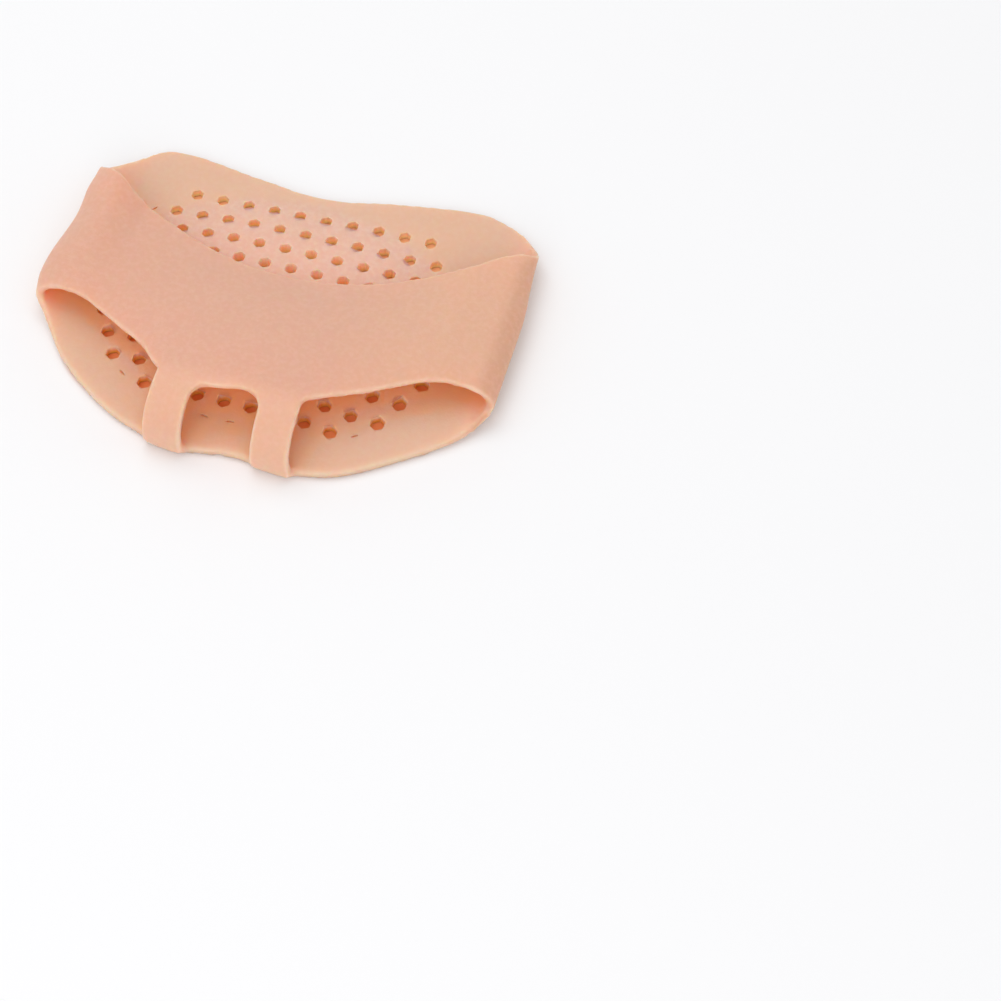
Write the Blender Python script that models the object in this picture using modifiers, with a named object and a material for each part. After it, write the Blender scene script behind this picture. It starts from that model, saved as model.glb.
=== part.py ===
"""Silicone forefoot sleeve: pierced sole pad, strap over the foot and two toe bars, moulded in one.

X runs across the foot, the toes point to -Y and the sole lies on Z = 0. Lengths are in metres.
"""
import math
from collections import namedtuple

import bmesh
import bpy
from mathutils import Vector, geometry

# Overall size of the outer skin.
WIDTH = 0.0960
LENGTH = 0.0712
HEIGHT = 0.0132

# Walls.
SOLE_WALL = 0.0040
FLANGE_WALL = 0.0020
STRAP_WALL = 0.0016

# Room between the strap and the thickest part of the sole, where the strap sags lowest.
STRAP_GAP = 0.0004

# Honeycomb.
CELL_PITCH = 0.0056
CELL_ACROSS_FLATS = 0.0028
FIELD_HALF_WIDTH = 0.0381
FIELD_FRONT = 0.0278
FIELD_REAR = 0.0314
FIELD_REAR_CUT = 0.0266
FIELD_ROUNDNESS = 2.8
FIELD_SHIFT = 0.0014

# Toe bars.
BAR_SPACING = 0.0220
BAR_WIDTH = 0.0084
BAR_WALL = 0.0020
BAR_SINK = 0.0001
LOOP_CORNER = 0.0028
SIDE_CORNER = 0.0016

# How finely the skin is divided.
SKIN_STEPS = 44
SKIN_BANDS = 9
BAR_STEPS = 20
BAR_COLUMNS = 5

# Half of the sleeve's skin, from the middle of the sole round the side fold to the middle of the
# strap. Each row is one lengthwise section: how far out it lies as a share of half the width, its
# front and rear ends as shares of half the length, and how high they are lifted. A lift of 0 is
# the floor, 1 is where the strap would just clear the sole and 2 is the full height.
Section = namedtuple("Section", "out front rear lift_front lift_rear")
SECTIONS = [
    Section(0.00, -0.933, 0.893, 0.00, 0.00),
    Section(0.12, -0.952, 0.902, 0.00, 0.00),
    Section(0.24, -0.983, 0.927, 0.00, 0.00),
    Section(0.36, -0.938, 0.955, 0.00, 0.00),
    Section(0.48, -0.879, 0.983, 0.00, 0.00),
    Section(0.60, -0.792, 1.000, 0.00, 0.00),
    Section(0.71, -0.691, 1.000, 0.00, 0.00),
    Section(0.81, -0.579, 0.978, 0.00, 0.00),
    Section(0.90, -0.458, 0.922, 0.11, 0.13),
    Section(0.965, -0.364, 0.833, 0.37, 0.44),
    Section(1.00, -0.316, 0.752, 0.79, 0.88),
    Section(0.985, -0.288, 0.705, 1.08, 1.19),
    Section(0.93, -0.276, 0.670, 1.27, 1.40),
    Section(0.85, -0.280, 0.612, 1.38, 1.48),
    Section(0.76, -0.309, 0.524, 1.45, 1.44),
    Section(0.66, -0.379, 0.455, 1.51, 1.25),
    Section(0.55, -0.463, 0.386, 1.58, 1.12),
    Section(0.43, -0.553, 0.316, 1.67, 1.08),
    Section(0.31, -0.652, 0.262, 1.76, 1.07),
    Section(0.16, -0.722, 0.216, 1.89, 1.07),
    Section(0.00, -0.733, 0.202, 1.94, 1.07),
]
STRAP_CROWN = 0.18
FOLD_ROW = 10


def blend(values, place):
    """Smooth curve through evenly counted values, read at a place from 0 to the last one."""
    cell = min(int(place), len(values) - 2)
    t = place - cell
    b, c = values[cell], values[cell + 1]
    a = values[cell - 1] if cell else 2 * b - c
    d = values[cell + 2] if cell + 2 < len(values) else 2 * c - b
    return b + 0.5 * t * (c - a + t * (2 * a - 5 * b + 4 * c - d + t * (3 * (b - c) + d - a)))


def strap_share(place):
    """0 on the sole, 1 on the strap, easing over at the fold."""
    t = min(max((place - FOLD_ROW + 3) / 4, 0.0), 1.0)
    return t * t * (3 - 2 * t)


def skin_point(place, along):
    """Point on the outer skin: place counts sections, along runs from the front end to the rear."""
    out, front, rear, lift_front, lift_rear = (
        blend([getattr(s, name) for s in SECTIONS], place) for name in Section._fields)
    lift = lift_front + (lift_rear - lift_front) * along
    crown = STRAP_CROWN * max(0.0, place - FOLD_ROW) / (len(SECTIONS) - 1 - FOLD_ROW)
    lift += crown * 4 * along * (1 - along)
    lift = 0.0 if place <= 7 else max(lift, 0.0)
    clear = SOLE_WALL + STRAP_GAP + STRAP_WALL
    rise = clear * min(lift, 1.0) + (HEIGHT - clear) * max(lift - 1.0, 0.0)
    y = front + (rear - front) * along
    return Vector((out * WIDTH / 2, y * LENGTH / 2, rise))


def sole_wall(x, y):
    """Wall of the sole pad: full in the middle, down to the flange outside the honeycomb."""
    reach = FIELD_FRONT if y < FIELD_SHIFT else FIELD_REAR
    far = min(1.0, (x / FIELD_HALF_WIDTH) ** 2 + ((y - FIELD_SHIFT) / reach) ** 2)
    return FLANGE_WALL + (SOLE_WALL - FLANGE_WALL) * (1 - far)


def new_object(name, mesh, collection):
    thing = bpy.data.objects.new(name, mesh)
    collection.objects.link(thing)
    return thing


def grid_mesh(name, rows):
    """Open skin through rows of points."""
    mesh = bpy.data.meshes.new(name)
    work = bmesh.new()
    loops = [[work.verts.new(p) for p in row] for row in rows]
    for here, there in zip(loops, loops[1:]):
        for a, b, c, d in zip(here, here[1:], there[1:], there):
            work.faces.new((a, b, c, d))
    work.normal_update()
    work.to_mesh(mesh)
    work.free()
    return mesh


def thicken(thing, walls):
    """Solidify inwards, each vertex with its own wall."""
    widest = max(walls)
    group = thing.vertex_groups.new(name="wall")
    for index, wall in enumerate(walls):
        group.add([index], wall / widest, "REPLACE")
    shell = thing.modifiers.new("wall", "SOLIDIFY")
    shell.thickness = widest
    shell.offset = -1.0
    shell.vertex_group = group.name
    return shell


def as_cutter(thing):
    thing.hide_render = True
    thing.display_type = "WIRE"
    return thing


def join(thing, tool, operation):
    step = thing.modifiers.new(tool.name, "BOOLEAN")
    step.operation = operation
    step.object = tool
    step.solver = "EXACT"


def silicone():
    material = bpy.data.materials.new("silicone")
    material.use_nodes = True
    shader = material.node_tree.nodes["Principled BSDF"]
    shader.inputs["Base Color"].default_value = (0.75, 0.43, 0.31, 1.0)
    shader.inputs["Roughness"].default_value = 0.5
    shader.inputs["Metallic"].default_value = 0.0
    return material


def sleeve_skin(collection):
    """The whole sleeve as one skin, mirrored about its middle and given its wall."""
    last = len(SECTIONS) - 1
    places = [last * step / SKIN_STEPS for step in range(SKIN_STEPS + 1)]
    bands = [band / SKIN_BANDS for band in range(SKIN_BANDS + 1)]
    rows = [[skin_point(place, along) for along in bands] for place in places]
    for row in (rows[0], rows[-1]):
        for point in row:
            point.x = 0.0
    thing = new_object("forefoot_sleeve", grid_mesh("forefoot_sleeve", rows), collection)
    walls = []
    for place, row in zip(places, rows):
        share = strap_share(place)
        walls += [(1 - share) * sole_wall(p.x, p.y) + share * STRAP_WALL for p in row]
    mirror = thing.modifiers.new("left and right", "MIRROR")
    mirror.merge_threshold = 0.00001
    thicken(thing, walls)
    thing.data.materials.append(silicone())
    return thing


def bar_root():
    """Where a bar leaves the strap's front edge, as a place along the sections."""
    share = BAR_SPACING / WIDTH
    strap = SECTIONS[FOLD_ROW:]
    for index, (outer, inner) in enumerate(zip(strap, strap[1:])):
        if outer.out >= share >= inner.out:
            return FOLD_ROW + index + (outer.out - share) / (outer.out - inner.out)


def strap_front(x):
    """The strap's front edge, as y at this distance from the middle."""
    for outer, inner in zip(SECTIONS[FOLD_ROW:], SECTIONS[FOLD_ROW + 1:]):
        if outer.out >= x / (WIDTH / 2) >= inner.out:
            part = (outer.out - x / (WIDTH / 2)) / (outer.out - inner.out)
            return (outer.front + (inner.front - outer.front) * part) * LENGTH / 2


def flare(radius, slope, past):
    """How much wider a bar is at this way past the strap's edge, which leans by the slope."""
    slant = math.hypot(1, slope)
    depth = min(max(radius * (slant - slope) - past, 0.0), radius / slant)
    return radius - math.sqrt(radius * radius - depth * depth)


def bar_blank(side, collection):
    """One toe bar: a bent strip from inside the strap's front edge down into the front lip."""
    root = bar_root()
    inner, outer = skin_point(root + 0.5, 0.0), skin_point(root - 0.5, 0.0)
    tilt = (outer.z - inner.z) / (outer.x - inner.x)
    start, edge = skin_point(root, 0.12), skin_point(root, 0.0)
    toe = -LENGTH / 2
    reach = edge.y - toe
    path = [Vector((start.y, start.z - BAR_SINK)), Vector((edge.y, edge.z - BAR_SINK)),
            Vector((toe + 0.48 * reach, 0.91 * edge.z)), Vector((toe + 0.11 * reach, 0.66 * edge.z)),
            Vector((toe, 0.34 * edge.z)), Vector((toe + 0.04 * reach, 0.06 * edge.z))]
    rows = []
    run = -(path[1] - path[0]).length
    spot = path[0]
    for step in range(BAR_STEPS + 1):
        place = (len(path) - 1) * step / BAR_STEPS
        before, spot = spot, blend(path, place)
        run += (spot - before).length
        lean = tilt * max(0.0, 1 - place / 3)
        row = []
        for k in range(BAR_COLUMNS + 1):
            inward = 2 * k / BAR_COLUMNS - 1
            hand = 1 if inward > 0 else -1
            corner = LOOP_CORNER if hand > 0 else SIDE_CORNER
            flank = BAR_SPACING / 2 - hand * BAR_WIDTH / 2
            slope = (strap_front(flank - hand * corner) - strap_front(flank)) / corner
            past = run + strap_front(flank) - edge.y
            across = -inward * (BAR_WIDTH / 2 + flare(corner, slope, past))
            row.append(Vector((side * (BAR_SPACING / 2 + across), spot.x, spot.y + lean * across)))
        rows.append(row if side > 0 else row[::-1])
    mesh = grid_mesh("toe_bar", rows)
    thing = new_object("toe_bar_%s" % ("right" if side > 0 else "left"), mesh, collection)
    thicken(thing, [BAR_WALL] * len(mesh.vertices))
    return as_cutter(thing)


def cell_centres():
    """Centres of the hexagons whose whole outline lies inside the pierced field."""
    point_radius = CELL_ACROSS_FLATS / math.sqrt(3)
    step_y = CELL_PITCH * math.sqrt(3) / 2
    count = int(FIELD_HALF_WIDTH / CELL_PITCH) + 2
    for row in range(-count, count + 1):
        for column in range(-count, count + 1):
            x = (column + (row % 2) / 2) * CELL_PITCH
            y = row * step_y
            if all(inside_field(x + point_radius * math.sin(k * math.pi / 3),
                                y + point_radius * math.cos(k * math.pi / 3)) for k in range(6)):
                yield x, y + FIELD_SHIFT


def inside_field(x, y):
    reach = FIELD_FRONT if y < 0 else FIELD_REAR
    if y > FIELD_REAR_CUT:
        return False
    return abs(x / FIELD_HALF_WIDTH) ** FIELD_ROUNDNESS + abs(y / reach) ** FIELD_ROUNDNESS <= 1


def cell_pins(collection):
    """Hexagonal pins for all holes, each a little taller than the pad where it stands."""
    work = bmesh.new()
    for x, y in cell_centres():
        top = sole_wall(x, y) + 0.0002
        made = bmesh.ops.create_cone(work, cap_ends=True, segments=6, depth=top + 0.0010,
                                     radius1=CELL_ACROSS_FLATS / math.sqrt(3),
                                     radius2=CELL_ACROSS_FLATS / math.sqrt(3))
        bmesh.ops.translate(work, verts=made["verts"], vec=(x, y, (top - 0.0010) / 2))
    mesh = bpy.data.meshes.new("honeycomb_pins")
    work.to_mesh(mesh)
    work.free()
    return as_cutter(new_object("honeycomb_pins", mesh, collection))


for old in list(bpy.data.objects):
    bpy.data.objects.remove(old, do_unlink=True)
parts = bpy.data.collections.new("forefoot_sleeve")
tools = bpy.data.collections.new("cutters")
for group in (parts, tools):
    bpy.context.scene.collection.children.link(group)

sleeve = sleeve_skin(parts)
for side in (-1, 1):
    join(sleeve, bar_blank(side, tools), "UNION")
join(sleeve, cell_pins(tools), "DIFFERENCE")
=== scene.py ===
"""Silicone forefoot sleeve, lying sole down on a pale studio floor."""
import math
from collections import namedtuple

import bmesh
import bpy
import numpy as np
from mathutils import Matrix, Vector
from mathutils.bvhtree import BVHTree


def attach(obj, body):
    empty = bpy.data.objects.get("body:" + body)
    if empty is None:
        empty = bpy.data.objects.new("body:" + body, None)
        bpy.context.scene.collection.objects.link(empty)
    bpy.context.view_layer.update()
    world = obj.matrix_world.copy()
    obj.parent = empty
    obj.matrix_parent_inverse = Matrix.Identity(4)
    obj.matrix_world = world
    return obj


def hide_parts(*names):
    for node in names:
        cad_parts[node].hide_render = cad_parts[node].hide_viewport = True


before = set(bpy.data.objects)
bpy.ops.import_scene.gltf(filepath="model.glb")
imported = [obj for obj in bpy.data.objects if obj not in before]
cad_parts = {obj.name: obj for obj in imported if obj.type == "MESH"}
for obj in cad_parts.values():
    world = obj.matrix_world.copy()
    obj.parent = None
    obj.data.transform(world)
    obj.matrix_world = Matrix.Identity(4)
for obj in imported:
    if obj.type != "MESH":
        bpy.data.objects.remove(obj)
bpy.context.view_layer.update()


# Sleeve blank. The real sleeve is one piece of soft silicone, moulded as a closed band: the sole
# pad turns up at both sides and comes back over the foot as the strap. Its outer skin is lofted
# through lengthwise sections and thickened inwards, thick under the foot and thin on the strap.
width, length, height = 0.0960, 0.0712, 0.0132
sole_wall, flange_wall, strap_wall = 0.0040, 0.0020, 0.0016
field_half_width, field_front, field_rear, field_rear_cut = 0.0381, 0.0278, 0.0314, 0.0266
field_shift = 0.0014

# Half of the skin, from the middle of the sole round the side fold to the middle of the strap:
# reach outwards, front end and rear end as shares of the sizes above, then the lift of both ends,
# where 0 is the floor, 1 is the strap lying on the sole and 2 is the full height.
Section = namedtuple("Section", "out front rear lift_front lift_rear")
sections = [
    Section(0.00, -0.933, 0.893, 0.00, 0.00),
    Section(0.12, -0.952, 0.902, 0.00, 0.00),
    Section(0.24, -0.983, 0.927, 0.00, 0.00),
    Section(0.36, -0.938, 0.955, 0.00, 0.00),
    Section(0.48, -0.879, 0.983, 0.00, 0.00),
    Section(0.60, -0.792, 1.000, 0.00, 0.00),
    Section(0.71, -0.691, 1.000, 0.00, 0.00),
    Section(0.81, -0.579, 0.978, 0.00, 0.00),
    Section(0.90, -0.458, 0.922, 0.11, 0.13),
    Section(0.965, -0.364, 0.833, 0.37, 0.44),
    Section(1.00, -0.316, 0.752, 0.79, 0.88),
    Section(0.985, -0.288, 0.705, 1.08, 1.19),
    Section(0.93, -0.276, 0.670, 1.27, 1.40),
    Section(0.85, -0.280, 0.612, 1.38, 1.48),
    Section(0.76, -0.309, 0.524, 1.45, 1.44),
    Section(0.66, -0.379, 0.455, 1.51, 1.25),
    Section(0.55, -0.463, 0.386, 1.58, 1.12),
    Section(0.43, -0.553, 0.316, 1.67, 1.08),
    Section(0.31, -0.652, 0.262, 1.76, 1.07),
    Section(0.16, -0.722, 0.216, 1.89, 1.07),
    Section(0.00, -0.733, 0.202, 1.94, 1.07),
]
flat_row, fold_row = 7, 10
strap_crown, strap_gap = 0.18, 0.0004


def blend(values, place):
    """Smooth curve through evenly counted values."""
    cell = min(int(place), len(values) - 2)
    t = place - cell
    b, c = values[cell], values[cell + 1]
    a = values[cell - 1] if cell else 2 * b - c
    d = values[cell + 2] if cell + 2 < len(values) else 2 * c - b
    return b + 0.5 * t * (c - a + t * (2 * a - 5 * b + 4 * c - d + t * (3 * (b - c) + d - a)))


def skin_section(place):
    """Lengthwise section of the outer skin, as a function of the share from front to rear."""
    out, front, rear, low, high = (
        blend([getattr(s, name) for s in sections], place) for name in Section._fields)
    crown = strap_crown * max(0.0, place - fold_row) / (len(sections) - 1 - fold_row)

    def point(along):
        lift = low + (high - low) * along + crown * 4 * along * (1 - along)
        lift = 0.0 if place <= flat_row else max(lift, 0.0)
        clear = sole_wall + strap_gap + strap_wall
        rise = clear * min(lift, 1.0) + (height - clear) * max(lift - 1.0, 0.0)
        return Vector((out * width / 2, (front + (rear - front) * along) * length / 2, rise))
    return point


def sole_thickness(x, y):
    """The sole's wall, thick in the middle of the pierced field and thin on the flange."""
    reach = field_front if y < field_shift else field_rear_cut
    far = min(1.0, (x / field_half_width) ** 2 + ((y - field_shift) / reach) ** 2)
    return flange_wall + (sole_wall - flange_wall) * (1 - far)


def thickened(name, rows, walls):
    """Closed solid from an open grid of points, thickened inwards by each point's own wall."""
    mesh = bpy.data.meshes.new(name)
    work = bmesh.new()
    grid = [[work.verts.new(p) for p in row] for row in rows]
    for here, there in zip(grid, grid[1:]):
        for quad in zip(here, here[1:], there[1:], there):
            work.faces.new(quad)
    work.to_mesh(mesh)
    work.free()
    piece = bpy.data.objects.new(name, mesh)
    bpy.context.scene.collection.objects.link(piece)
    group = piece.vertex_groups.new(name="wall")
    for index, wall in enumerate(walls):
        group.add([index], wall / max(walls), "REPLACE")
    shell = piece.modifiers.new("wall", "SOLIDIFY")
    shell.thickness, shell.offset, shell.vertex_group = max(walls), -1.0, group.name
    return piece


def settled(piece):
    """The piece's mesh with its modifiers applied; the piece itself goes."""
    mesh = bpy.data.meshes.new_from_object(
        piece.evaluated_get(bpy.context.evaluated_depsgraph_get()))
    bpy.data.objects.remove(piece)
    return mesh


half_steps, bands = 150, 48
rows, walls = [], []
for step in range(2 * half_steps):
    side = 1 if step <= half_steps else -1
    place = (len(sections) - 1) * (step if side > 0 else 2 * half_steps - step) / half_steps
    point = skin_section(place)
    over = min(max((place - fold_row + 3) / 4, 0.0), 1.0)
    over = over * over * (3 - 2 * over)
    row = [point(band / bands) for band in range(bands + 1)]
    row = [Vector((side * p.x, p.y, p.z)) for p in row]
    rows.append(row)
    walls += [(1 - over) * sole_thickness(p.x, p.y) + over * strap_wall for p in row]
blank = bmesh.new()
band_piece = thickened("band", rows + rows[:1], walls + walls[:bands + 1])
weld = band_piece.modifiers.new("closed", "WELD")
weld.merge_threshold = 0.00001
band_piece.modifiers.move(1, 0)
blank.from_mesh(settled(band_piece))


# Toe bars. Two narrow bars part the toes. They leave the strap's front edge in one sweep, bend
# down over the toes' roots and run into the front lip; the mould rounds every inner corner.
bar_spacing, bar_width, bar_wall = 0.0220, 0.0084, 0.0020
corners = {(-1, 1): 0.0031, (-1, -1): 0.0008, (1, 1): 0.0029, (1, -1): 0.0024}
waists = {(-1, 1): 0.0006, (-1, -1): 0.0, (1, 1): 0.0, (1, -1): 0.0008}
bar_sink = 0.00005
route_steps, across_steps = 75, 16
strap_rows = sections[:fold_row - 1:-1]


def strap_front(x):
    """The strap's front edge at this distance from the middle."""
    outs, fronts = [s.out for s in strap_rows], [s.front for s in strap_rows]
    return np.interp(x / (width / 2), outs, fronts) * length / 2


def flare(corner, slope, past):
    """How much wider a bar is at this way past the strap's edge, which leans by the slope."""
    slant = math.hypot(1, slope)
    depth = min(max(corner * (slant - slope) - past, 0.0), corner / slant)
    return corner - math.sqrt(corner * corner - depth * depth)


bar_root = next(fold_row + k + (a.out - bar_spacing / width) / (a.out - b.out)
                for k, (a, b) in enumerate(zip(sections[fold_row:], sections[fold_row + 1:]))
                if a.out >= bar_spacing / width >= b.out)
start, edge = skin_section(bar_root)(0.16), skin_section(bar_root)(0.0)
near, far = skin_section(bar_root + 0.5)(0.0), skin_section(bar_root - 0.5)(0.0)
tilt = (far.z - near.z) / (far.x - near.x)
toe = -length / 2
reach = edge.y - toe
route = [Vector((start.y, start.z - bar_sink)), Vector((edge.y, edge.z - bar_sink)),
         Vector((toe + 0.48 * reach, 0.91 * edge.z)), Vector((toe + 0.11 * reach, 0.66 * edge.z)),
         Vector((toe, 0.34 * edge.z)), Vector((toe + 0.04 * reach, 0.06 * edge.z))]
spots = [blend(route, (len(route) - 1) * step / route_steps) for step in range(route_steps + 1)]
edge_step = route_steps // (len(route) - 1)
ways = [0.0]
for before, after in zip(spots, spots[1:]):
    ways.append(ways[-1] + (after - before).length)
for side in (-1, 1):
    rows = []
    for step, (spot, way) in enumerate(zip(spots, ways)):
        lean = tilt * max(0.0, 1 - step / (3 * edge_step))
        row = []
        for k in range(across_steps + 1):
            inward = 2 * k / across_steps - 1
            hand = 1 if inward > 0 else -1
            corner, waist = corners[side, hand], waists[side, hand] * (1 - way / ways[-1])
            flank = bar_spacing / 2 - hand * (bar_width / 2 - waist)
            slope = (strap_front(flank - hand * corner) - strap_front(flank)) / corner
            past = way - ways[edge_step] + strap_front(flank) - edge.y
            across = -inward * (bar_width / 2 - waist + flare(corner, slope, past))
            row.append(Vector((side * (bar_spacing / 2 + across), spot.x, spot.y + lean * across)))
        rows.append(row if side > 0 else row[::-1])
    bar_walls = [bar_wall] * (len(rows) * (across_steps + 1))
    blank.from_mesh(settled(thickened("bar", rows, bar_walls)))


# Moulded body. The blanks fuse into one skin of even small faces, which is then relaxed so that
# rims and joints take the soft radii of a moulding.
mesh = bpy.data.meshes.new("silicone_sleeve")
blank.to_mesh(mesh)
blank.free()
sleeve = bpy.data.objects.new("silicone_sleeve", mesh)
bpy.context.scene.collection.objects.link(sleeve)
fuse = sleeve.modifiers.new("fuse", "REMESH")
fuse.mode, fuse.voxel_size = "VOXEL", 0.00052
relax = sleeve.modifiers.new("relax", "SMOOTH")
relax.factor, relax.iterations = 0.5, 8
mesh = settled(sleeve)
mesh.name = "silicone_sleeve"
sleeve = bpy.data.objects.new("silicone_sleeve", mesh)
bpy.context.scene.collection.objects.link(sleeve)


# Honeycomb. Staggered rows of hexagonal vents go right through the sole, each with softened
# corners and a small lead-in at both faces where the mould's pins met it. Beyond the last whole
# cells the mould leaves shallow slits, each the inner side of a cell that the field's edge cuts off.
cell_pitch, cell_flats, lead_in = 0.0056, 0.0025, 0.00013
field_corner, least_rim = 2.8, 0.00015
slit_half_length, slit_half_width, slit_depth = 0.00075, 0.00024, 0.0005
slit_cells = {4: (-6, 6), 3: (-6.5, 6.5), 2: (-7, 7), 0: (-7, 7),
              -5: (-4.5, 4.5), -6: (-2, -1, 0, 1, 2)}


def in_field(x, y):
    reach = field_front if y < 0 else field_rear
    far = abs(x / field_half_width) ** field_corner + abs(y / reach) ** field_corner
    return y <= field_rear_cut and far <= 1


def hexagon(grow):
    """Ring of a hexagon with softened corners, points along Y."""
    tips = [Vector((math.sin(k * math.pi / 3), math.cos(k * math.pi / 3))) for k in range(6)]
    ring = []
    for k, tip in enumerate(tips):
        before, after = tips[k - 1], tips[(k + 1) % 6]
        ring += [tip * 0.84 + before * 0.16, tip * 0.945, tip * 0.84 + after * 0.16]
    return [p * (cell_flats / math.sqrt(3) + grow) for p in ring]


def add_pin(work, middle, levels):
    """Closed pin through rings of points, each ring at its own height."""
    rings = [[work.verts.new((middle.x + p.x, middle.y + p.y, z)) for p in ring]
             for ring, z in levels]
    for here, there in zip(rings, rings[1:]):
        for k in range(len(here)):
            work.faces.new((here[k - 1], here[k], there[k], there[k - 1]))
    work.faces.new(rings[0])
    work.faces.new(reversed(rings[-1]))


tree = BVHTree.FromObject(sleeve, bpy.context.evaluated_depsgraph_get())
pins = bmesh.new()
up = Vector((0, 0, 1))
widened = hexagon(least_rim)
for row in range(-7, 8):
    for half in range(-17, 18):
        x, y = half * cell_pitch / 2, row * cell_pitch * math.sqrt(3) / 2
        slit = half / 2 in slit_cells.get(row, ())
        whole = (half - row) % 2 == 0 and all(in_field(x + p.x, y + p.y) for p in widened)
        if not slit and not whole:
            continue
        middle = Vector((x, y + field_shift, 0))
        if slit:
            inward = Vector((x, y * 1.35)).normalized()
            along = Vector((-inward.y, inward.x))
            middle -= (inward * cell_flats * 0.42).to_3d()
        low = tree.ray_cast(Vector((middle.x, middle.y, -0.01)), up)[0].z
        top = tree.ray_cast(Vector((middle.x, middle.y, low + 0.0002)), up)[0].z
        if slit:
            ring = [along * (slit_half_length * math.cos(k * math.pi / 6))
                    + inward * (slit_half_width * math.sin(k * math.pi / 6)) for k in range(12)]
            wider = [p * 1.2 for p in ring]
            add_pin(pins, middle,
                    [(ring, top - slit_depth), (ring, top - 0.0002), (wider, top + 0.0003)])
        else:
            grow = -0.006 * y
            add_pin(pins, middle, [
                (hexagon(grow + lead_in + 0.0001), low - 0.0001),
                (hexagon(grow + lead_in * 0.3), low + lead_in * 0.6),
                (hexagon(grow), low + lead_in * 1.6), (hexagon(grow), top - lead_in * 1.6),
                (hexagon(grow + lead_in * 0.3), top - lead_in * 0.6),
                (hexagon(grow + lead_in + 0.0001), top + 0.0001)])
bmesh.ops.recalc_face_normals(pins, faces=pins.faces)
pin_mesh = bpy.data.meshes.new("pins")
pins.to_mesh(pin_mesh)
pins.free()
pin_set = bpy.data.objects.new("pins", pin_mesh)
bpy.context.scene.collection.objects.link(pin_set)
cut = sleeve.modifiers.new("vents", "BOOLEAN")
cut.operation, cut.object, cut.solver = "DIFFERENCE", pin_set, "MANIFOLD"
mesh = settled(sleeve)
bpy.data.objects.remove(pin_set)
mesh.name = "silicone_sleeve"
sleeve = bpy.data.objects.new("silicone_sleeve", mesh)
bpy.context.scene.collection.objects.link(sleeve)
mesh.shade_smooth()
mesh.set_sharp_from_angle(angle=math.radians(50))


# How it lies. Soft silicone never lies true: the left side is drawn in and its rear corner pulled
# towards the toes, the right side leans out, and the strap has a shallow dent beside the left fold.
# Places and shifts are in millimetres.
count = len(mesh.vertices)
spots = np.empty(count * 3)
mesh.vertices.foreach_get("co", spots)
spots = spots.reshape(-1, 3)
x, y, z = spots.T * 1000


def ease(value, low, high):
    t = np.clip((value - low) / (high - low), 0, 1)
    return t * t * (3 - 2 * t)


def hump(value, middle, reach):
    return np.exp(-((value - middle) / reach) ** 2)


over = ease(z, 5.0, 7.0)
tuck = 1 - ease(z, 2.0, 5.0)
left_in = 2.1 * ease(-x, 29, 45) * ease(y, -4, 12) * (1 - 0.25 * ease(y, 14, 25))
left_in += 1.2 * ease(-x, 36, 46) * (1 - ease(y, -13, -5))
left_back = (-1.5 * ease(-x, 8, 34) - 1.4 * ease(-x, 33, 43)) * ease(y, 8, 27)
right_out = 1.7 * ease(x, 30, 47) * (1 - 0.8 * ease(y, 8, 26))
right_back = 0.7 * ease(x, 22, 40) * ease(y, 12, 30)
right_back -= (1.1 + 0.5 * tuck) * ease(x, 8, 26) * ease(-y, 8, 20)
right_back -= 0.9 * ease(x, 38, 46) * ease(-y, 4, 12)
heel_out = 1.1 * ease(np.abs(x + 8), 6, 24) * ease(y, 18, 29) * tuck
heel_out *= 1 - 0.9 * ease(x, 33, 42)
left_in += (1.0 + 1.2 * tuck) * ease(-x, 36, 44) * ease(y, 16, 25)
dent = -1.0 * hump(x, -33.5, 4.6) * ease(y, -14, 6) * (1 - 0.6 * ease(y, 12, 20)) * over
dent += 0.7 * hump(x, -42.0, 3.5) * ease(y, -12, 6) * over
dent += 0.8 * ease(-x, 31, 40) * ease(y, 8, 20) * over
dent -= 0.6 * hump(x, 40.0, 4.0) * ease(y, -14, 0) * over
toes_out = -(0.5 + 1.1 * hump(x, -5.0, 7.0)) * ease(-y, 22, 32)
scoop = 0.9 * hump(x, 2.5, 3.6) * ease(-y, 19, 24) * (1 - ease(-y, 27, 30)) * over
scoop -= 1.3 * hump(x, -16.0, 3.0) * ease(-y, 15, 20) * (1 - ease(-y, 26, 30)) * over
ahead = left_back + right_back + heel_out + toes_out + scoop
spots += np.stack([left_in + right_out, ahead, dent], 1) / 1000
mesh.vertices.foreach_set("co", spots.ravel())
mesh.update()

# Rims: how far each point stands out from its neighbours, kept on the mesh for the painted highlight
# on rims.
ends = np.empty(len(mesh.edges) * 2, dtype=np.int64)
mesh.edges.foreach_get("vertices", ends)
ends = ends.reshape(-1, 2)
normals = np.empty(count * 3)
mesh.vertices.foreach_get("normal", normals)
normals = normals.reshape(-1, 3)
many = np.bincount(ends.ravel(), minlength=count)[:, None]


def neighbours(values):
    total = np.zeros_like(values)
    np.add.at(total, ends[:, 0], values[ends[:, 1]])
    np.add.at(total, ends[:, 1], values[ends[:, 0]])
    return total / many


def evened(values, turns):
    for turn in range(turns):
        values = 0.5 * values + 0.5 * neighbours(values)
    return values


rim = ((spots - neighbours(spots)) * normals).sum(1, keepdims=True) / 0.0005
mesh.attributes.new("rim", "FLOAT", "POINT").data.foreach_set("value", evened(rim, 1).ravel())
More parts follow.
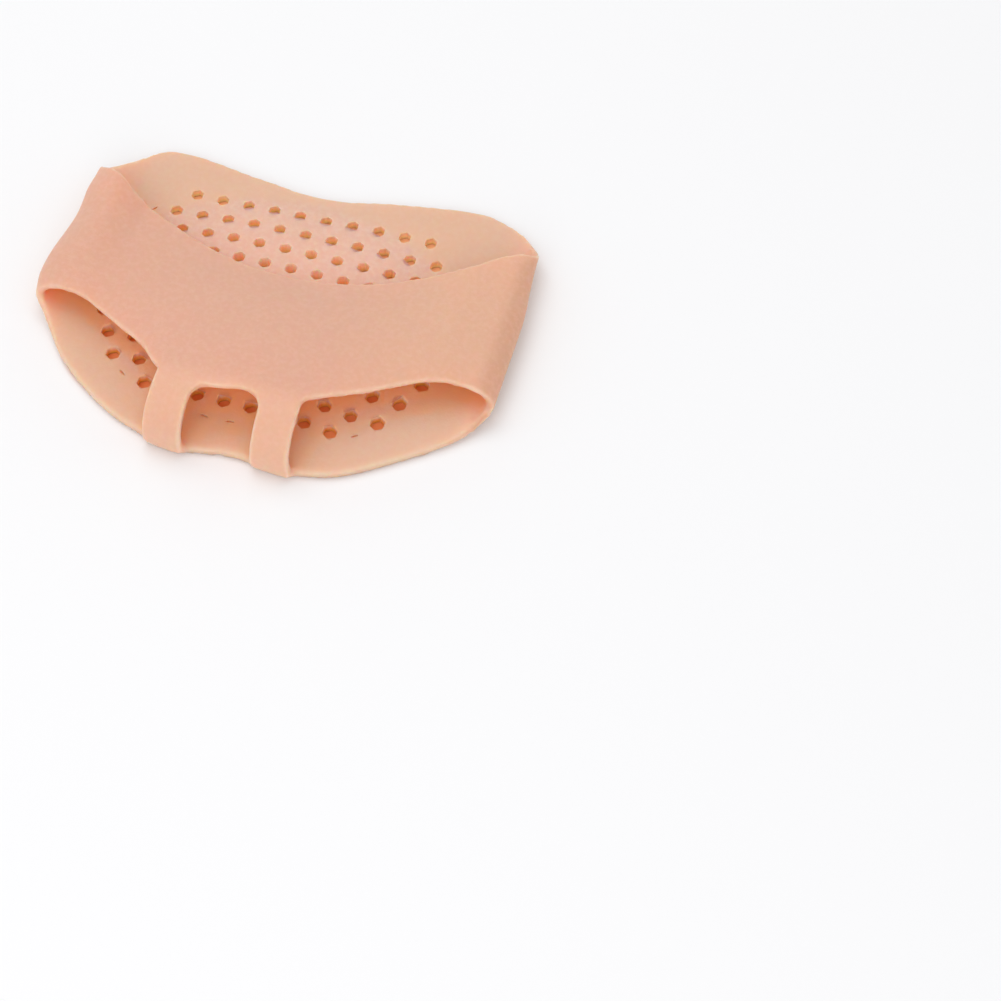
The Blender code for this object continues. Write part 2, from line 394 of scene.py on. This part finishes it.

# Shelter: the share of the sky that the sleeve hides from each point. Light reaches such places
# through the silicone and comes out deep orange, under the strap and in the vents; the colouring
# paints this in as a deep orange tint and glow.
tree = BVHTree.FromObject(sleeve, bpy.context.evaluated_depsgraph_get())
ray_count, ray_reach, glancing = 26, 0.02, 0.15
rays = []
for k in range(ray_count):
    level, turn = 1 - (2 * k + 1) / ray_count, k * math.pi * (3 - math.sqrt(5))
    flat = math.sqrt(1 - level * level)
    rays.append(Vector((flat * math.cos(turn), flat * math.sin(turn), level)))
shelter = np.zeros((count, 1))
for index, vertex in enumerate(mesh.vertices):
    normal, hidden, seen = vertex.normal, 0.0, 0.0
    origin = vertex.co + normal * 0.00008
    for ray in rays:
        facing = ray.dot(normal)
        if facing > glancing:
            seen += facing
            if tree.ray_cast(origin, ray, ray_reach)[0]:
                hidden += facing
    shelter[index] = hidden / seen
shade = mesh.attributes.new("shelter", "FLOAT", "POINT")
shade.data.foreach_set("value", evened(shelter, 2).ravel())


# Silicone. Skin-toned and slightly see-through: light goes a few millimetres in and comes out
# more orange, so thin rims glow pale and the walls of the vents turn deep orange. The colours
# below paint much of this light in: painted highlights on rims, painted glow in vents and shelter,
# painted light on the bars, painted shade across the strap and a painted contact shadow by the
# floor.
class Wire:
    """A socket in a material, so that maths on it reads as maths; with no socket, a start."""

    def __init__(self, tree, socket=None):
        self.tree, self.socket = tree, socket

    def node(self, kind, settings=None, inputs=None, out=0):
        made = self.tree.nodes.new(kind)
        for name, value in (settings or {}).items():
            setattr(made, name, value)
        for name, value in (inputs or {}).items():
            if isinstance(value, Wire):
                self.tree.links.new(value.socket, made.inputs[name])
            else:
                made.inputs[name].default_value = value
        return Wire(self.tree, made.outputs[out])

    def into(self, socket):
        self.tree.links.new(self.socket, socket)

    def maths(self, operation, a, b):
        return self.node("ShaderNodeMath", {"operation": operation}, {0: a, 1: b})

    def __add__(self, other):
        return self.maths("ADD", self, other)

    def __sub__(self, other):
        return self.maths("SUBTRACT", self, other)

    def __mul__(self, other):
        return self.maths("MULTIPLY", self, other)

    def __truediv__(self, other):
        return self.maths("DIVIDE", self, other)

    def __rsub__(self, other):
        return self.maths("SUBTRACT", other, self)

    def __pow__(self, other):
        return self.maths("POWER", self, other)

    __radd__, __rmul__ = __add__, __mul__

    def mix(self, a, b):
        """Colour a where this is 0, b where it is 1."""
        return self.node("ShaderNodeMix", {"data_type": "RGBA"}, {0: self, 6: a, 7: b}, 2)

    def between(self, low, high):
        return self.node("ShaderNodeMapRange", {"interpolation_type": "SMOOTHSTEP"},
                         {"Value": self, "From Min": low, "From Max": high})


flange_warm, flange_pale = (0.815, 0.480, 0.325, 1.0), (0.835, 0.515, 0.370, 1.0)
strap_shaded_left, strap_lit_right = (0.722, 0.422, 0.306, 1.0), (0.732, 0.447, 0.304, 1.0)
valley_shade_pink, fold_shade_brown = (0.730, 0.410, 0.284, 1.0), (0.640, 0.375, 0.250, 1.0)
bar_lit_pale, rim_highlight_pale = (0.775, 0.482, 0.338, 1.0), (0.930, 0.730, 0.640, 1.0)
net_pink, fleck_pale = (0.810, 0.485, 0.385, 1.0), (0.860, 0.610, 0.500, 1.0)
vent_glow_orange, vent_glow_tan = (0.890, 0.400, 0.120, 1.0), (0.930, 0.600, 0.320, 1.0)
sheltered_glow_orange, contact_shadow_brown = (0.900, 0.440, 0.210, 1.0), (0.520, 0.290, 0.210, 1.0)
no_glow, covered_glow = (0.0, 0.0, 0.0, 1.0), (0.062, 0.021, 0.006, 1.0)
vent_glow, rear_vent_glow = (0.125, 0.035, 0.002, 1.0), (0.170, 0.086, 0.024, 1.0)

silicone = bpy.data.materials.new("silicone")
silicone.use_nodes = True
shader = silicone.node_tree.nodes["Principled BSDF"]
wiring = Wire(silicone.node_tree)
place = wiring.node("ShaderNodeTexCoord", out="Object")
x, y, z = (wiring.node("ShaderNodeSeparateXYZ", inputs={0: place}, out=axis) for axis in "XYZ")
normal = wiring.node("ShaderNodeNewGeometry", out="Normal")
upright = wiring.node("ShaderNodeSeparateXYZ", inputs={0: normal}, out="Z")
rim = wiring.node("ShaderNodeAttribute", {"attribute_name": "rim"}, out="Fac")
shelter = wiring.node("ShaderNodeAttribute", {"attribute_name": "shelter"}, out="Fac")
cloud = wiring.node("ShaderNodeTexNoise", {}, {"Vector": place, "Scale": 45.0, "Detail": 3.0})
speckle = wiring.node("ShaderNodeTexNoise", {}, {"Vector": place, "Scale": 900.0, "Detail": 2.0})
grain = wiring.node("ShaderNodeTexNoise", {}, {"Vector": place, "Scale": 2200.0, "Detail": 2.0})
frost = wiring.node("ShaderNodeTexNoise", {}, {"Vector": place, "Scale": 800.0, "Detail": 3.0})

# Where each tone lies: the pierced net, the vents' walls and how deep in them, strap and bars, and
# the steep bottom edge that takes the painted contact shadow.
from_middle = (x / field_half_width) ** 2 + ((y - field_shift) / field_front) ** 2
field = 1 - from_middle.between(0.90, 1.10)
sole = 1 - z.between(0.0044, 0.0052)
net = field * sole
around = (((x / field_half_width) ** 2) ** (field_corner / 2)
          + (((y - field_shift) / field_rear) ** 2) ** (field_corner / 2))
level = upright * upright
inside = (1 - around.between(0.95, 1.15)) * (1 - y.between(0.0288, 0.0296))
wall = (1 - level.between(0.02, 0.30)) * inside * sole
thick = flange_wall + (sole_wall - flange_wall) * (1 - from_middle).between(0.0, 1.0)
depth = 1 - z / thick
sunk = wall * depth.between(0.1, 0.7)
buried = 1 - wall * (1 - depth.between(0.0, 0.65))
rear = y.between(0.004, 0.024)
plain_rear = (1 - field) * sole * y.between(0.004, 0.014)
strap = z.between(0.0052, 0.0070) * y.between(-0.0285, -0.0215)
valley = strap * (1 - x.between(-0.040, -0.016)) * x.between(-0.043, -0.037)
bars = z.between(0.0015, 0.0040) * (1 - y.between(-0.0300, -0.0215))
bars = bars * (1 - shelter.between(0.3, 0.6))
under = (1 - level.between(0.25, 0.80)) * (1 - wall) * (1 - z.between(0.0003, 0.0010))

tint = (cloud * 1.6 - 0.3).mix(flange_warm, flange_pale)
# Painted light: the bars and front lip are lighter where open to the lamps, not where the strap
# shelters them.
tint = bars.mix(tint, bar_lit_pale)
# Painted shade across the strap: pinker and darker on the left, lighter towards the right.
tint = (strap * 0.9).mix(tint, x.between(0.010, 0.038).mix(strap_shaded_left, strap_lit_right))
# Painted shade in the strap's shallow dent beside the left fold.
tint = (valley * 0.6).mix(tint, valley_shade_pink)
# Painted shade on the right fold's side, which turns away from the light.
tint = (x.between(0.0445, 0.0475) * 0.8).mix(tint, fold_shade_brown)
tint = (net * 0.7).mix(tint, net_pink)
tint = (speckle.between(0.35, 0.75) * (0.18 + net * 0.25)).mix(tint, fleck_pale)
# Painted glow and shade in the vents: walls deeper orange further down, deepest at the front under
# the strap.
tint = sunk.mix(tint, rear.mix(vent_glow_orange, vent_glow_tan))
# Painted glow and shade: places the sleeve hides from the sky turn deep orange.
tint = (shelter.between(0.10, 0.90) * buried * (1 - sunk)).mix(tint, sheltered_glow_orange)
# Painted highlight: pale rims where the surface stands out, round the vents and along edges and
# folds.
tint = (rim.between(0.05, 0.17) * (1 - plain_rear) * (0.5 + net * 0.35)).mix(tint, rim_highlight_pale)
# Painted contact shadow: steep faces just above the floor turn dark brown.
(under * 0.7).mix(tint, contact_shadow_brown).into(shader.inputs["Base Color"])
# Painted glow: emission in sheltered places stands in for light coming through the silicone.
glow = (shelter.between(0.15, 1.0) * buried).mix(no_glow, covered_glow)
# Painted glow: emission on the vents' walls stands in for light coming through the silicone.
sunk.mix(glow, rear.mix(vent_glow, rear_vent_glow)).into(shader.inputs["Emission Color"])
(0.48 + net * 0.14 + cloud * 0.08).into(shader.inputs["Roughness"])
texture = grain * 0.6 + frost * net * 1.8
bump = wiring.node("ShaderNodeBump", {}, {"Strength": 0.30, "Distance": 0.00015, "Height": texture})
bump.into(shader.inputs["Normal"])
shader.subsurface_method = "RANDOM_WALK"
for name, value in {"Emission Strength": 1.0, "IOR": 1.41, "Specular IOR Level": 0.45,
                    "Subsurface Weight": 1.0, "Subsurface Radius": (1.0, 0.45, 0.22),
                    "Subsurface Scale": 0.0040}.items():
    shader.inputs[name].default_value = value
mesh.materials.clear()
mesh.materials.append(silicone)
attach(sleeve, "root")
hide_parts("forefoot_sleeve")


# Studio. White paper under broad soft lamps, seen from the toes' side and well above. The light
# that comes through the silicone is painted onto the paper under the pierced field as a warm tint.
paper_size, paper_thickness, paper_drop = 6.0, 0.004, 0.00002
paper_white = (0.95, 0.95, 0.96, 1.0)
paper_glow_orange, paper_glow_tan = (0.84, 0.34, 0.14, 1.0), (0.93, 0.58, 0.34, 1.0)
floor_mesh = bpy.data.meshes.new("studio_floor")
work = bmesh.new()
slab = Matrix.Diagonal((paper_size, paper_size, paper_thickness, 1.0))
bmesh.ops.create_cube(work, size=1.0, matrix=slab)
work.to_mesh(floor_mesh)
work.free()
floor = bpy.data.objects.new("studio_floor", floor_mesh)
floor.location.z = -paper_thickness / 2 - paper_drop
bpy.context.scene.collection.objects.link(floor)
paper = bpy.data.materials.new("white_paper")
paper.use_nodes = True
paper_shader = paper.node_tree.nodes["Principled BSDF"]
wiring = Wire(paper.node_tree)
place = wiring.node("ShaderNodeTexCoord", out="Object")
x, y, z = (wiring.node("ShaderNodeSeparateXYZ", inputs={0: place}, out=axis) for axis in "XYZ")
pierced = 1 - ((x / 0.0415) ** 4 + ((y - 0.0005) / 0.0305) ** 4).between(0.75, 1.0)
top_face = z.between(0.001, 0.0015)
# Painted light: orange at the front, tan at the rear, on the paper's top under the pierced field.
warm = y.between(0.004, 0.024).mix(paper_glow_orange, paper_glow_tan)
(pierced * top_face).mix(paper_white, warm).into(paper_shader.inputs["Base Color"])
paper_shader.inputs["Roughness"].default_value = 0.9
paper_shader.inputs["Specular IOR Level"].default_value = 0.1
floor_mesh.materials.append(paper)

world = bpy.data.worlds.new("studio")
bpy.context.scene.world = world
world.use_nodes = True
sky = world.node_tree.nodes["Background"]
sky.inputs["Color"].default_value = (1.0, 1.0, 1.0, 1.0)
sky.inputs["Strength"].default_value = 0.68
bpy.context.scene.view_settings.view_transform = "Standard"

Lamp = namedtuple("Lamp", "name place aim size power")
for lamp in (Lamp("key", (-0.20, 0.28, 0.88), (0, 0, 0), 0.80, 2.6),
             Lamp("fill", (0.05, -0.66, 0.50), (0, 0, 0), 0.60, 1.6)):
    light = bpy.data.lights.new(lamp.name, "AREA")
    light.shape, light.size, light.energy = "SQUARE", lamp.size, lamp.power
    holder = bpy.data.objects.new(lamp.name, light)
    holder.location = lamp.place
    toward = Vector(lamp.aim) - Vector(lamp.place)
    holder.rotation_euler = toward.to_track_quat("-Z", "Y").to_euler()
    bpy.context.scene.collection.objects.link(holder)

lens = bpy.data.cameras.new("camera")
lens.lens, lens.sensor_width, lens.clip_start = 100.0, 36.0, 0.01
camera = bpy.data.objects.new("camera", lens)
camera_place = (0.1329, -0.3112, 0.4566)
sight = Vector((-0.1418, 0.5207, -0.8419)).normalized()
right = sight.cross(Vector((-0.2358, 0.8083, 0.5396))).normalized()
turned = Matrix((right, right.cross(sight), -sight)).transposed().to_4x4()
camera.matrix_world = Matrix.Translation(camera_place) @ turned
bpy.context.scene.collection.objects.link(camera)
bpy.context.scene.camera = camera
